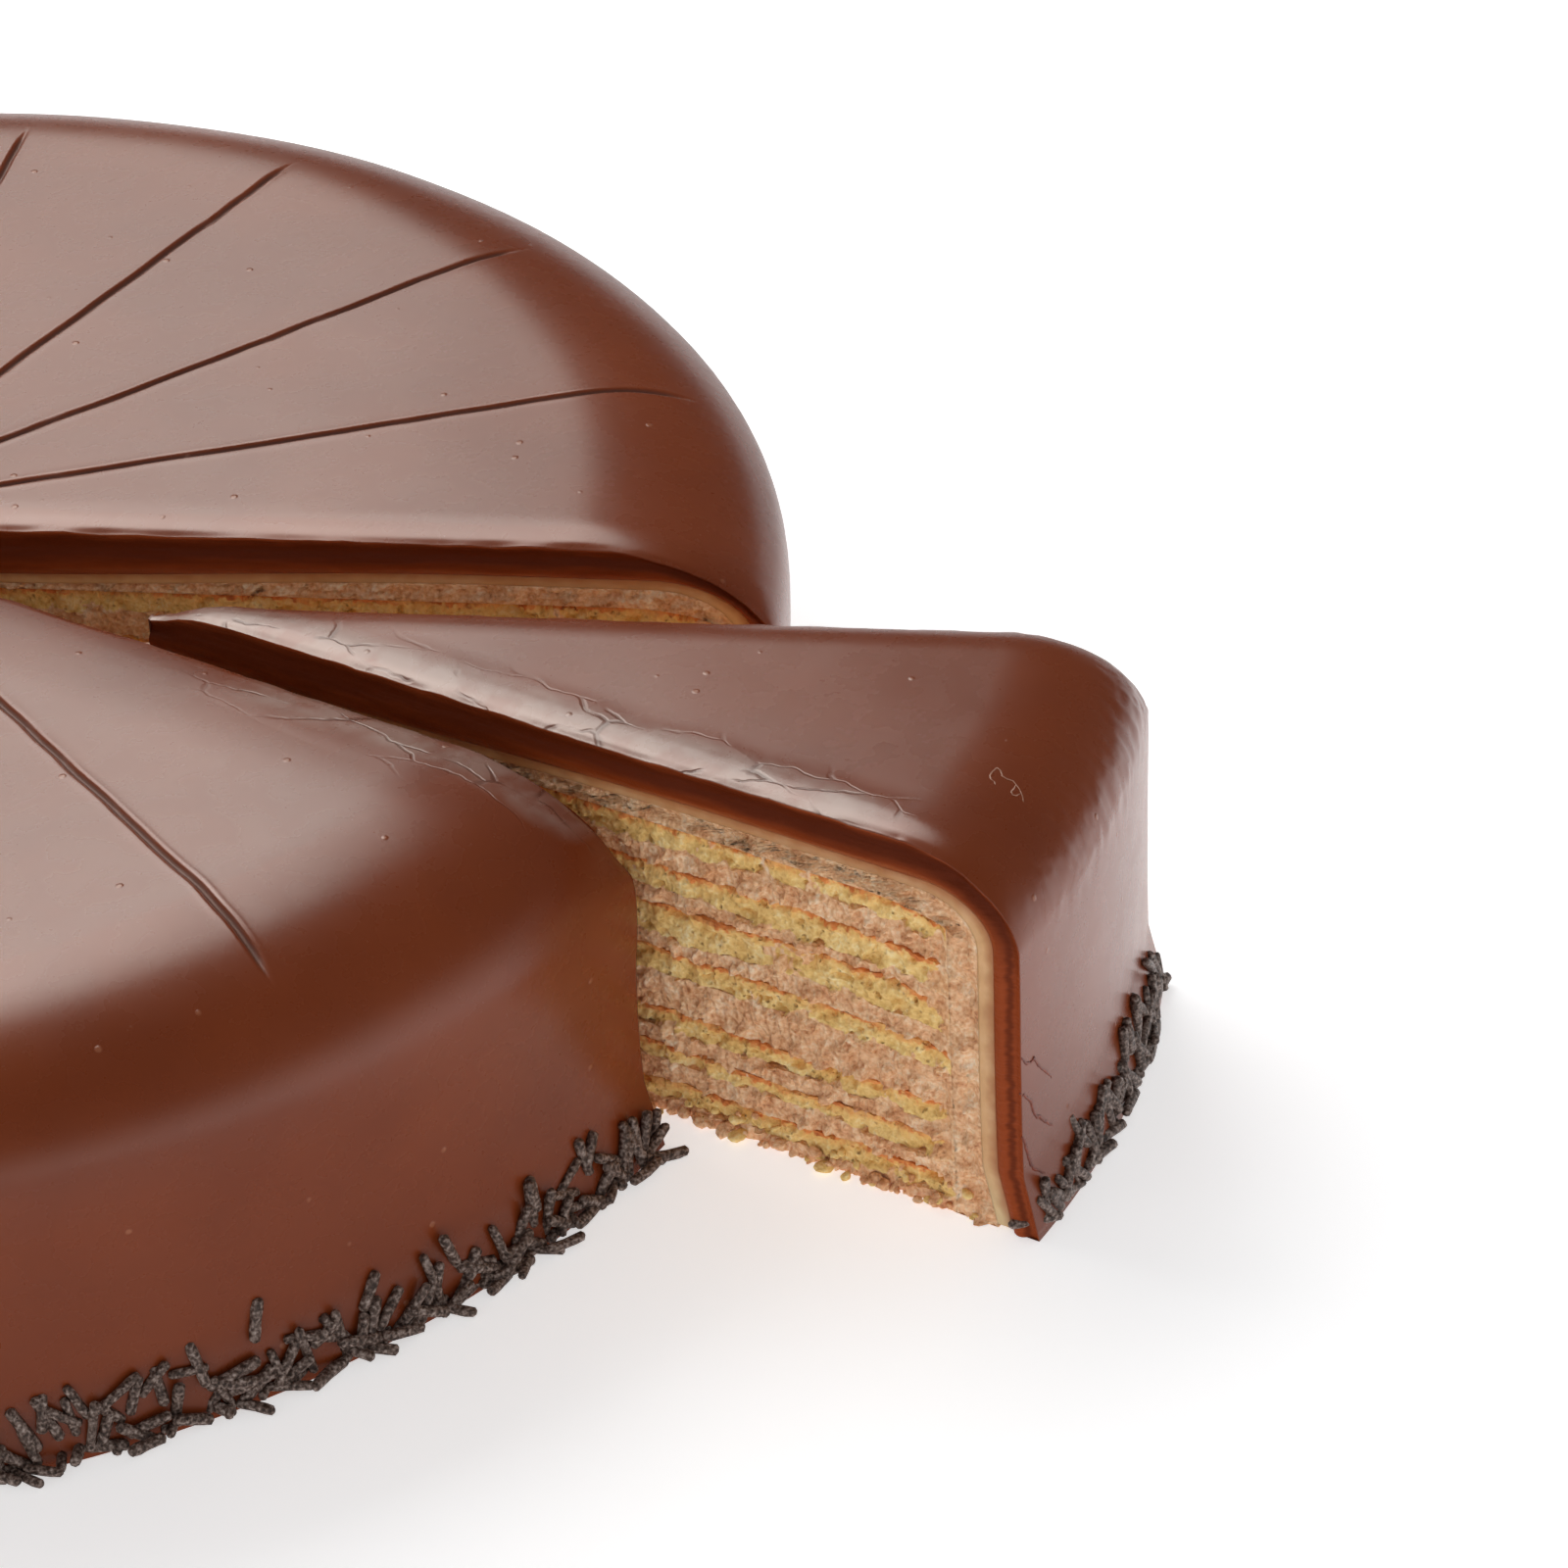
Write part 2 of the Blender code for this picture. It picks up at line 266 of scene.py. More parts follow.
def softBelow(shader, roughness, weight, depths):
    # light goes a little way into the food; depths are for red, green and blue
    setSockets(shader, {"Roughness": roughness, "Subsurface Weight": weight, "Subsurface Scale": 0.5})
    shader.inputs["Subsurface Radius"].default_value = depths


def dressed(material, colour, skin=None):
    # joins the colour and the bumps to the material's shader
    tree = material.node_tree
    shader = tree.nodes["Principled BSDF"]
    tree.links.new(colour, shader.inputs["Base Color"])
    if skin is not None:
        tree.links.new(skin, shader.inputs["Normal"])
    return material


glazeLook = {
    "brown": (0.212, 0.041, 0.0095),
    "deepBrown": (0.182, 0.034, 0.0080),
    # painted shade in the scored grooves
    "scoreShadeBrown": (0.115, 0.028, 0.011),
    "speck": (0.42, 0.16, 0.08),
    "speckApart": 0.0078,
    "crackBrown": (0.080, 0.020, 0.008),
    "flakeSheenBrown": (0.42, 0.310, 0.260),  # where the glaze flakes beside a cut it is painted paler: the flaking is real, the pale tone is painted highlight of the bright rolled edge
    "flakeSheen": 0.45,
    "roughness": 0.27,
    "scoreDull": 0.35,
    "crackSize": 0.0058,
    "crackWidth": 0.032,
}


def makeGlazeMaterial():
    look = glazeLook
    material, tree, shader = newMaterial("chocolateGlaze")
    point = objectPoint(tree)
    broad = noiseAt(tree, point, 0.030, 4.0)
    colour = mixColour(tree, stepAt(tree, broad, 0.38, 0.62), look["deepBrown"], look["brown"])
    dot = stepAt(tree, voronoiAt(tree, point, look["speckApart"]), 0.040, 0.070, 1.0, 0.0)
    colour = mixColour(tree, calc(tree, "MULTIPLY", dot, 0.4), colour, look["speck"])
    scored = markAt(tree, "scored")
    # painted shade: the scored troughs get a darker brown
    colour = mixColour(tree, scored, colour, look["scoreShadeBrown"])
    zone = markAt(tree, "crackZone")
    # painted highlight: pale patches on the flaking rolled edge beside the cut
    patches = stepAt(tree, noiseAt(tree, point, 0.005, 3.0), 0.36, 0.56, 0.35, 1.0)
    flakeSheen = calc(tree, "MULTIPLY", stepAt(tree, zone, 0.35, 0.90, 0.0, look["flakeSheen"]), patches)
    colour = mixColour(tree, flakeSheen, colour, look["flakeSheenBrown"])
    bent = warped(tree, point, 0.0060, 0.0035)
    alongCut = turnedPoint(tree, bent, -torte["nearCut"], (0.32, 1.0, 0.25))  # cracks run beside the cut
    crazed = voronoiAt(tree, alongCut, look["crackSize"], "DISTANCE_TO_EDGE")
    crack = stepAt(tree, crazed, 0.3 * look["crackWidth"], look["crackWidth"], 1.0, 0.0)
    broken = stepAt(tree, noiseAt(tree, point, 0.008, 2.0), 0.44, 0.54)
    crack = calc(tree, "MULTIPLY", crack, calc(tree, "MULTIPLY", zone, broken))
    colour = mixColour(tree, calc(tree, "MULTIPLY", crack, 0.6), colour, look["crackBrown"])
    dull = stepAt(tree, noiseAt(tree, point, 0.004, 5.0), 0.3, 0.7, -0.01, 0.02)
    rough = calc(tree, "ADD", dull, look["roughness"])
    rough = calc(tree, "ADD", rough, calc(tree, "MULTIPLY", scored, look["scoreDull"]))
    tree.links.new(rough, shader.inputs["Roughness"])
    flakes = calc(tree, "MULTIPLY", voronoiAt(tree, alongCut, look["crackSize"]), zone)
    skin = bumpAt(tree, noiseAt(tree, point, 0.0009, 3.0), 0.03, 0.0002)
    skin = bumpAt(tree, dot, 0.30, 0.0003, skin)
    skin = bumpAt(tree, calc(tree, "SUBTRACT", 1.0, crack), 0.45, 0.0002, skin)
    skin = bumpAt(tree, flakes, 0.45, 0.0006, skin)
    return dressed(material, colour, skin)


glazeCutLook = {
    "stops": [  # from the skin's outer side to its inner side; the darkest stops are painted shade of the cut band below the rolled edge
        (0.00, (0.320, 0.062, 0.016)), (0.09, (0.170, 0.029, 0.007)), (0.24, (0.100, 0.015, 0.0030)),
        (0.55, (0.120, 0.018, 0.0035)), (0.80, (0.220, 0.038, 0.0080)), (1.00, (0.340, 0.090, 0.028)),
    ],
    "wallLitRed": (0.330, 0.062, 0.0150),  # painted light: on the wall the skin is thinner and is painted redder and lighter, as if lit through, while the band higher up keeps the darker stops, painted shade
    "wallFrom": 0.050,
    "wallTo": 0.040,
    "seamAt": 0.42,  # a dark line between two coats, as a share of the thickness
}


def makeGlazeCutMaterial():
    look = glazeCutLook
    material, tree, shader = newMaterial("cutGlaze")
    point = objectPoint(tree)
    share = markAt(tree, "cutShare")
    level = addNode(tree, "SeparateXYZ", {0: point}).outputs["Z"]
    streaks = noiseAt(tree, point, 0.0026, 4.0, (0.3, 0.3, 3.0))
    wandering = calc(tree, "ADD", share, stepAt(tree, streaks, 0.0, 1.0, -0.16, 0.16))
    colour = rampAt(tree, wandering, look["stops"])
    # painted light and shade: the redder lit colour low on the wall, the darker stops above
    onWall = stepAt(tree, level, look["wallFrom"], look["wallTo"], 0.0, 0.80)
    fromSeam = calc(tree, "ABSOLUTE", calc(tree, "SUBTRACT", wandering, look["seamAt"]))
    seam = stepAt(tree, fromSeam, 0.04, 0.16, 0.25, 1.0)
    colour = mixColour(tree, calc(tree, "MULTIPLY", onWall, seam), colour, look["wallLitRed"])
    setSockets(shader, {"Roughness": 0.45, "Specular IOR Level": 0.08})
    skin = bumpAt(tree, streaks, 0.45, 0.0006)
    skin = bumpAt(tree, noiseAt(tree, point, 0.0006, 3.0), 0.35, 0.0003, skin)
    return dressed(material, colour, skin)


marzipanLook = {
    "tan": [(0.30, (0.60, 0.315, 0.130)), (0.55, (0.71, 0.410, 0.190)), (0.75, (0.80, 0.520, 0.280))],
    "browner": (0.40, 0.135, 0.042),
    "foot": (0.70, 0.580, 0.320),
}


def makeMarzipanMaterial():
    look = marzipanLook
    material, tree, shader = newMaterial("marzipan")
    point = objectPoint(tree)
    colour = rampAt(tree, noiseAt(tree, point, 0.006, 4.0), look["tan"])
    level = addNode(tree, "SeparateXYZ", {0: point}).outputs["Z"]
    colour = mixColour(tree, stepAt(tree, level, 0.002, 0.011, 0.6, 0.0), colour, look["foot"])
    # darker brown towards the top of the marzipan, and next to the glaze on the cut
    lid = stepAt(tree, level, 0.047, 0.0515, 0.0, 0.55)
    colour = mixColour(tree, lid, colour, look["browner"])
    wander = stepAt(tree, noiseAt(tree, point, 0.003, 3.0), 0.3, 0.7, -0.12, 0.12)
    near = calc(tree, "ADD", markAt(tree, "cutShare"), wander)
    colour = mixColour(tree, stepAt(tree, near, 0.05, 0.65, 0.85, 0.0), colour, look["browner"])
    softBelow(shader, 0.42, 0.12, (0.003, 0.002, 0.001))
    return dressed(material, colour, bumpAt(tree, noiseAt(tree, point, 0.0011, 3.0), 0.25, 0.0003))


# random tone of the cream; its darkest and lightest stops are painted shade and painted highlights of the
# grainy surface
creamToneShadeGlintStops = [
    (0.30, (0.42, 0.140, 0.040)), (0.42, (0.74, 0.360, 0.165)),
    (0.54, (0.92, 0.560, 0.310)), (0.68, (1.00, 0.780, 0.560)),
]


def creamColour(tree, point):
    tone = noiseAt(tree, point, 0.0030, 5.0)
    dots = noiseAt(tree, point, 0.0006, 3.0)
    mixed = calc(tree, "ADD", calc(tree, "MULTIPLY", tone, 0.5), calc(tree, "MULTIPLY", dots, 0.5))
    return rampAt(tree, mixed, creamToneShadeGlintStops)


def creamSkin(tree, point):
    curds = voronoiAt(tree, warped(tree, point, 0.0012, 0.0010), 0.0009)
    skin = bumpAt(tree, curds, 0.7, 0.0005)
    return bumpAt(tree, noiseAt(tree, point, 0.0005, 3.0), 0.6, 0.0004, skin)


def makeCreamMaterial():
    material, tree, shader = newMaterial("buttercream")
    point = objectPoint(tree)
    softBelow(shader, 0.34, 0.10, (0.003, 0.0015, 0.001))
    return dressed(material, creamColour(tree, point), creamSkin(tree, point))


spongeLook = {
    "crumb": [
        (0.28, (0.56, 0.300, 0.070)), (0.42, (0.82, 0.520, 0.165)),
        (0.54, (0.94, 0.650, 0.250)), (0.68, (1.00, 0.820, 0.450)),
    ],
    # painted shade in the holes of the crumb
    "shadedPit": (0.42, 0.200, 0.045),
    "glow": (0.92, 0.480, 0.130),  # the yellow under the crust
    "crust": [(0.30, (0.46, 0.110, 0.018)), (0.50, (0.78, 0.230, 0.045)), (0.72, (0.92, 0.400, 0.120))],
    "crustDepth": 0.0009,
    "glowDepth": 0.0020,
}


def makeSpongeMaterial():
    look = spongeLook
    material, tree, shader = newMaterial("yellowSponge")
    point = objectPoint(tree)
    tone = noiseAt(tree, point, 0.0035, 5.0)
    fine = noiseAt(tree, point, 0.0006, 4.0)
    mixed = calc(tree, "ADD", calc(tree, "MULTIPLY", tone, 0.45), calc(tree, "MULTIPLY", fine, 0.55))
    colour = rampAt(tree, mixed, look["crumb"])
    # painted shade: the holes of the crumb are painted darker
    bubbles = voronoiAt(tree, warped(tree, point, 0.0012, 0.0008), 0.0010)
    shadedPit = stepAt(tree, bubbles, 0.10, 0.30, 0.75, 0.0)
    shadedPit = calc(tree, "MULTIPLY", shadedPit, stepAt(tree, noiseAt(tree, point, 0.0024, 2.0), 0.45, 0.60))
    colour = mixColour(tree, shadedPit, colour, look["shadedPit"])
    ragged = stepAt(tree, noiseAt(tree, point, 0.0010, 4.0), 0.25, 0.75, -0.0008, 0.0008)
    depth = calc(tree, "ADD", markAt(tree, "fromTop"), ragged)
    glow = stepAt(tree, depth, look["crustDepth"], look["glowDepth"], 0.55, 0.0)
    colour = mixColour(tree, glow, colour, look["glow"])
    strength = stepAt(tree, noiseAt(tree, point, 0.006, 2.0), 0.36, 0.50, 0.40, 1.0)
    crust = stepAt(tree, depth, 0.5 * look["crustDepth"], look["crustDepth"], 1.0, 0.0)
    crust = calc(tree, "MULTIPLY", crust, strength)
    colour = mixColour(tree, crust, colour, rampAt(tree, noiseAt(tree, point, 0.0015, 4.0), look["crust"]))
    over = calc(tree, "ADD", markAt(tree, "creamOver"), stepAt(tree, fine, 0.3, 0.7, -0.3, 0.3))
    colour = mixColour(tree, stepAt(tree, over, 0.40, 0.65, 0.0, 0.92), colour, creamColour(tree, point))
    softBelow(shader, 0.70, 0.10, (0.003, 0.002, 0.001))
    skin = bumpAt(tree, calc(tree, "SUBTRACT", 1.0, shadedPit), 0.8, 0.0006)
    return dressed(material, colour, bumpAt(tree, fine, 0.8, 0.0005, skin))


sprinkleStops = [
    (0.36, (0.035, 0.018, 0.012)), (0.48, (0.110, 0.068, 0.052)),
    (0.58, (0.230, 0.165, 0.138)), (0.72, (0.440, 0.350, 0.310)),
]


def makeSprinkleMaterial():
    material, tree, shader = newMaterial("darkSprinkle")
    tone = noiseAt(tree, objectPoint(tree), 0.0005, 4.0)
    setSockets(shader, {"Roughness": 0.42})
    return dressed(material, rampAt(tree, tone, sprinkleStops), bumpAt(tree, tone, 0.9, 0.0004))


def makeThreadMaterial(name, dark, light):
    # a hairline on the glaze, paler or darker than the glaze itself
    material, tree, shader = newMaterial(name)
    tone = noiseAt(tree, objectPoint(tree), 0.0008, 3.0)
    setSockets(shader, {"Roughness": 0.45})
    return dressed(material, rampAt(tree, tone, [(0.35, dark), (0.65, light)]))


glaze = makeGlazeMaterial()
glazeCut = makeGlazeCutMaterial()
marzipan = makeMarzipanMaterial()
cream = makeCreamMaterial()
sponge = makeSpongeMaterial()
sprinkle = makeSprinkleMaterial()
scratch = makeThreadMaterial("scratch", (0.34, 0.15, 0.090), (0.52, 0.28, 0.190))
splitRed = makeThreadMaterial("splitRed", (0.13, 0.020, 0.006), (0.24, 0.040, 0.012))
print("materials made")


# outlines of the skins, as arrays of radius and height from the axis out and down

skinLevels = {  # how far in on the wall, and the top level
    "glazeOut": (0.0, height),
    "glazeIn": (0.00365, topOnAxis("marzipan") + 0.5 * gap),
    "marzipanOut": (0.00367, topOnAxis("marzipan") + 0.4 * gap),
    "marzipanIn": (0.00595, topOnAxis("cream_coat") + 0.5 * gap),
    "coatOut": (0.00597, topOnAxis("cream_coat") + 0.4 * gap),
}
glazeDip = (0.0022, 0.095, 0.020)  # the glaze lies thicker in the middle: depth, from, to
skinForms = {  # spread and waist of the wall, blunt tip, then the shoulders' widths and drops
    "cake": {
        "spread": 0.0, "waist": 0.0012, "tip": 0.0,
        "glaze": (0.0280, 0.0180), "marzipan": (0.0140, 0.0090), "coat": (0.0115, 0.0075),
    },
    "slice": {
        "spread": 0.0008, "waist": 0.0003, "tip": 0.0028,
        "glaze": (0.0180, 0.0130), "marzipan": (0.0100, 0.0078), "coat": (0.0085, 0.0068),
    },
}
shoulderOf = {
    "glazeOut": "glaze", "glazeIn": "marzipan", "marzipanOut": "marzipan",
    "marzipanIn": "coat", "coatOut": "coat",
}


def wallInset(who, level):
    waist = np.exp(-(((level - torte["waistHeight"]) / torte["waistHeight"]) ** 2))
    flare = torte["footFlare"] * np.maximum(0.0, 1.0 - level / torte["footHeight"])
    return skinForms[who]["waist"] * waist - flare


def skinCurve(who, name, counts, foot=0.0):
    inset, top = skinLevels[name]
    width, drop = skinForms[who][shoulderOf[name]]
    flatCount, shoulderCount, wallCount = counts
    reach = radius + skinForms[who]["spread"] - inset
    flat = np.linspace(0.0, 1.0, flatCount, endpoint=False) ** 0.85 * (reach - width)
    turn = np.linspace(0.0, 0.5 * math.pi, shoulderCount, endpoint=False)
    across = reach - width + width * np.sin(turn)
    down = top - drop + drop * np.cos(turn)
    levels = np.linspace(top - drop, foot, wallCount)
    blend = smooth(top - drop - levels, 0.0, 0.012)
    wall = reach - wallInset(who, levels) * blend
    lid = np.full(flatCount, top)
    if name != "glazeOut":
        lid = lid - glazeDip[0] * smooth(flat, glazeDip[1], glazeDip[2])
    if name.startswith("glaze"):
        flat = np.maximum(flat, skinForms[who]["tip"])
    return np.concatenate([flat, across, wall]), np.concatenate([lid, down, levels])


def droopAt(reach, level):
    share = np.maximum(0.0, (reach - stackRadius + 0.012) / 0.012)
    return 0.0022 * share * share * level / height


def sectorShell(name, who, outer, inner, capRows, capMove, materials, skinMarks=None):
    # a skin swept round from cut to cut and closed there; outer and inner are
    # arrays (angle, step along the outline, xyz)
    place, start, end = bodies[who]
    columns, steps = outer.shape[:2]
    loops = np.concatenate([outer, inner[:, ::-1]], axis=1)
    size = 2 * steps
    verts = [loops.reshape(-1, 3)]
    faces = []
    for j in range(columns - 1):
        faces += band(j * size, (j + 1) * size, size)
    cutFrom = len(faces)
    count = columns * size
    cutShare = [np.zeros((columns, steps)), np.ones((columns, steps))]
    cutShare = [np.concatenate(cutShare, axis=1).reshape(-1)]
    for j, angle, sign in ((0, start, 1.0), (columns - 1, end, -1.0)):
        normal = np.array([math.sin(angle), -math.cos(angle), 0.0]) * sign
        grid = np.zeros((capRows + 1, steps), int)
        grid[0] = j * size + np.arange(steps)
        grid[capRows] = j * size + size - 1 - np.arange(steps)
        for m in range(1, capRows):
            share = m / capRows
            line = outer[j] * (1.0 - share) + inner[j] * share
            line = line + normal * capMove(line, share, sign)[:, None]
            verts.append(line)
            grid[m] = count + np.arange(steps)
            count += steps
            cutShare.append(np.full(steps, share))
        for m in range(capRows):
            for k in range(steps - 1):
                faces.append((grid[m, k], grid[m + 1, k], grid[m + 1, k + 1], grid[m, k + 1]))
    marks = {"cutShare": np.concatenate(cutShare)}
    for key, values in (skinMarks or {}).items():
        marks[key] = np.concatenate([values, np.zeros(count - len(values))])
    return makeMesh(name, np.concatenate(verts), faces, place, materials, marks, cutFrom)


def sweep(curve, angles):
    across, level = curve
    x = np.outer(np.cos(angles), across)
    y = np.outer(np.sin(angles), across)
    return np.stack([x, y, np.broadcast_to(level, x.shape)], -1)


# the glaze

glazeForm = {  # rolls: depth and width at the first and the last cut; cracks: at which cut, how
    # wide and how deep in from it, and the distances from the axis where they begin and end
    "cake": {
        "counts": (42, 24, 22), "plain": 150, "seed": 3, "rolls": ((0.0011, 0.0058), (0.0026, 0.0190)),
        "cracks": (-1.0, (0.0110, 0.0030), (0.066, 0.085), (0.134, 0.124)),
    },
    "slice": {
        "counts": (70, 44, 34), "plain": 90, "seed": 9, "rolls": ((0.0008, 0.0044), (0.0019, 0.0075)),
        "cracks": (1.0, (0.0095, 0.0030), (-1.0, 0.0), (0.128, 0.105)),
    },
    "tipDrop": 0.0016,
    "swell": 0.00022,
    "dimple": 0.00004,
    "drag": 0.00003,
    "rubbed": 0.00015,  # the portion's shoulder was brushed against while it was soft
    "nibble": 0.00035,
    "capHollow": 0.00040,
    "scoreStart": 0.005,
    "scoreDepth": 0.00060,
    "scoreWidth": 0.00046,
    "scoreLip": 0.00008,
    "scores": (  # direction and outer end of each, then the ones out of sight behind
        (66.6, 0.1115), (44.1, 0.1135), (21.6, 0.1175), (-0.9, 0.1245), (291.1, 0.1260),
    ),
    "hiddenScores": 9,
    "hiddenEnds": (0.112, 0.118),
}


def scoreList():
    form = glazeForm
    first, last = form["scores"][0][0], form["scores"][-1][0]
    step = (last - first) / (form["hiddenScores"] + 1)
    draw = random.Random(4)
    marks = [(math.radians(angle), end) for angle, end in form["scores"]]
    for index in range(form["hiddenScores"]):
        marks.append((math.radians(first + step * (index + 1)), draw.uniform(*form["hiddenEnds"])))
    return marks


cutSteps = (0.0, 0.10, 0.2, 0.32, 0.45, 0.6, 0.8, 1.05, 1.35, 1.7, 2.1, 2.6, 3.2, 3.9)
scoreSteps = (0.0, 0.08, 0.16, 0.24, 0.33, 0.43, 0.55, 0.7, 0.95, 1.4, 2.2, 3.6, 6.0)


def glazeAngles(who, middles):
    # directions of the columns, close together at the cuts and the scores
    start, end = bodies[who][1:]
    angles = list(np.linspace(start, end, glazeForm[who]["plain"]))
    angles += [start + math.radians(step) for step in cutSteps]
    angles += [end - math.radians(step) for step in cutSteps]
    for middle in middles:
        angles += [middle + sign * math.radians(step) for step in scoreSteps for sign in (-1.0, 1.0)]
    angles = np.array(sorted(angles))
    keep = np.concatenate([[True], np.diff(angles) > math.radians(0.045)])
    angles = angles[keep]
    angles[0], angles[-1] = start, end
    return angles


def shapeGlaze(who, curve, angles, scores):
    form, seed = glazeForm, glazeForm[who]["seed"]
    start, end = bodies[who][1:]
    crackSide, crackWide, crackFrom, crackTo = form[who]["cracks"]
    points = sweep(curve, angles)
    across = np.broadcast_to(curve[0], points.shape[:2])
    x, y, z = points[..., 0], points[..., 1], points[..., 2].copy()
    theta = np.broadcast_to(angles[:, None], across.shape)
    along = np.arctan2(-np.gradient(curve[1]), np.gradient(curve[0]))
    swell = form["swell"] * grain(x, y, z, 0.033, seed) + form["dimple"] * grain(x, y, z, 0.011, seed + 1)
    drag = form["drag"] * layered(theta * 0.02, 0.0, z, 0.0035, seed + 5) * smooth(z, 0.034, 0.026)
    push = (swell + drag) * smooth(z, 0.0, 0.006)
    if who == "slice":
        crest = smooth(z, 0.0400, 0.0455) * smooth(z, 0.0560, 0.0525)
        crest = crest * smooth(theta, start, start + 0.12)
        ripple = layered(theta * 0.13, z * 0.4, 0.0, 0.0015, seed + 21)
        ripple = ripple + 0.4 * grain(x, y, z, 0.0011, seed + 22)
        push = push + form["rubbed"] * ripple * crest
    outward = np.sin(along)[None, :] * push
    x = x + outward * np.cos(theta)
    y = y + outward * np.sin(theta)
    z = z + np.cos(along)[None, :] * push
    onTop = smooth(z, height - 0.016, height - 0.009)
    if who == "slice":
        z = z - form["tipDrop"] * smooth(across, 0.0120, 0.0025) * onTop
    for angle, sign, (rollDepth, rollWidth) in zip((start, end), (1.0, -1.0), form[who]["rolls"]):
        turned = (theta - angle) * sign
        off = np.where(turned < 0.5 * math.pi, across * np.sin(turned), 1.0)
        share = np.clip(1.0 - off / rollWidth, 0.0, 1.0)
        nibble = form["nibble"] * (0.5 + layered(across, sign, 0.0, 0.0042, seed + 7))
        sunk = rollDepth * share ** 2 + nibble * smooth(off, 0.0011, 0.0)
        z = z - sunk * onTop * smooth(across, 0.0, 0.004)
        if sign == crackSide:
            cracked = smooth(across, *crackFrom) * smooth(across, *crackTo)
            cracked = smooth(off, *crackWide) * cracked * onTop
    scored = np.zeros(across.shape)
    for middle, scoreEnd in scores:
        side = across * np.sin(theta - middle)
        reach = across * np.cos(theta - middle)
        wander = 0.00022 * grain(reach, middle, 0.0, 0.0045, seed + 11)
        wander = wander + 0.00012 * grain(reach, middle, 0.0, 0.0012, seed + 12)
        side = np.abs(side - wander)
        ends = smooth(reach, form["scoreStart"], form["scoreStart"] + 0.003)
        ends = ends * smooth(reach, scoreEnd + 0.0005, scoreEnd - 0.004)
        width = form["scoreWidth"] * (0.55 + 0.45 * ends)
        trough = np.exp(-((side / width) ** 2)) * ends
        lip = np.exp(-(((side - 1.9 * width) / width) ** 2)) * ends
        z = z - form["scoreDepth"] * trough + form["scoreLip"] * lip
        scored = np.maximum(scored, smooth(trough, 0.25, 0.8))
    return np.stack([x, y, np.maximum(z, 0.0)], -1), scored, cracked


def glazeCap(line, share, sign):
    # hollow below the edge, full above the marzipan
    across = np.hypot(line[:, 0], line[:, 1])
    body = math.sin(math.pi * share)
    wave = 0.00025 * grain(across, line[:, 2], 0.0, 0.006, 31)
    wave = wave + 0.00010 * grain(across, line[:, 2] * 3.0, 0.0, 0.0016, 32)
    return -glazeForm["capHollow"] * math.sin(2.0 * math.pi * share) + wave * body


def buildGlaze(who, scores):
    counts = glazeForm[who]["counts"]
    angles = glazeAngles(who, [middle for middle, scoreEnd in scores])
    outer, scored, cracked = shapeGlaze(who, skinCurve(who, "glazeOut", counts), angles, scores)
    inner = sweep(skinCurve(who, "glazeIn", counts), angles)
    marks = {"scored": scored, "crackZone": cracked}
    for key, values in marks.items():
        marks[key] = np.concatenate([values, np.zeros(values.shape)], axis=1).reshape(-1)
    name = who + "glazeSkin"
    piece = sectorShell(name, who, outer, inner, 14, glazeCap, [glaze, glazeCut], marks)
    settle(piece, who + "_glaze")
    print(name, len(piece.data.polygons), "faces")
    return piece


buildGlaze("cake", scoreList())
sliceGlaze = buildGlaze("slice", [])


# hairlines in the portion's glaze: a curled scratch on top, and splits beside the near cut

threadForm = {  # points of each line: direction, distance from the portion's axis, level
    "scratch": {"size": 0.00010, "jitter": 0.0, "lines": (
        ((-38.26, 0.1248, 0.0570), (-38.06, 0.1245, 0.0570), (-37.96, 0.1239, 0.0572),
         (-37.72, 0.1236, 0.0573), (-37.28, 0.1236, 0.0573), (-36.80, 0.1238, 0.0572),
         (-36.93, 0.1244, 0.0571), (-37.31, 0.1249, 0.0569), (-37.35, 0.1256, 0.0567),
         (-37.25, 0.1263, 0.0565), (-37.41, 0.1268, 0.0562), (-37.63, 0.1275, 0.0559),
         (-38.06, 0.1283, 0.0555), (-38.35, 0.1286, 0.0554)),
        ((-37.41, 0.1268, 0.0562), (-37.82, 0.1269, 0.0562), (-38.16, 0.1268, 0.0562),
         (-38.33, 0.1272, 0.0561), (-38.22, 0.1276, 0.0559), (-37.92, 0.1278, 0.0558)),
    )},
    "splits": {"size": 0.00026, "jitter": 0.00010, "lines": (
        ((-45.60, 0.1356, 0.0292), (-45.08, 0.1356, 0.0274), (-44.53, 0.1355, 0.0265),
         (-44.19, 0.1356, 0.0267), (-43.53, 0.1355, 0.0243), (-42.73, 0.1355, 0.0220),
         (-42.15, 0.1355, 0.0202)),
        ((-45.60, 0.1355, 0.0235), (-45.24, 0.1355, 0.0224), (-44.50, 0.1355, 0.0202),
         (-44.41, 0.1355, 0.0189), (-43.99, 0.1355, 0.0169), (-43.54, 0.1355, 0.0161),
         (-42.99, 0.1355, 0.0144), (-42.18, 0.1355, 0.0123)),
        ((-45.60, 0.1355, 0.0165), (-45.46, 0.1355, 0.0158), (-45.18, 0.1355, 0.0137),
         (-44.91, 0.1355, 0.0113), (-44.54, 0.1356, 0.0094), (-43.67, 0.1360, 0.0074)),
    )},
}


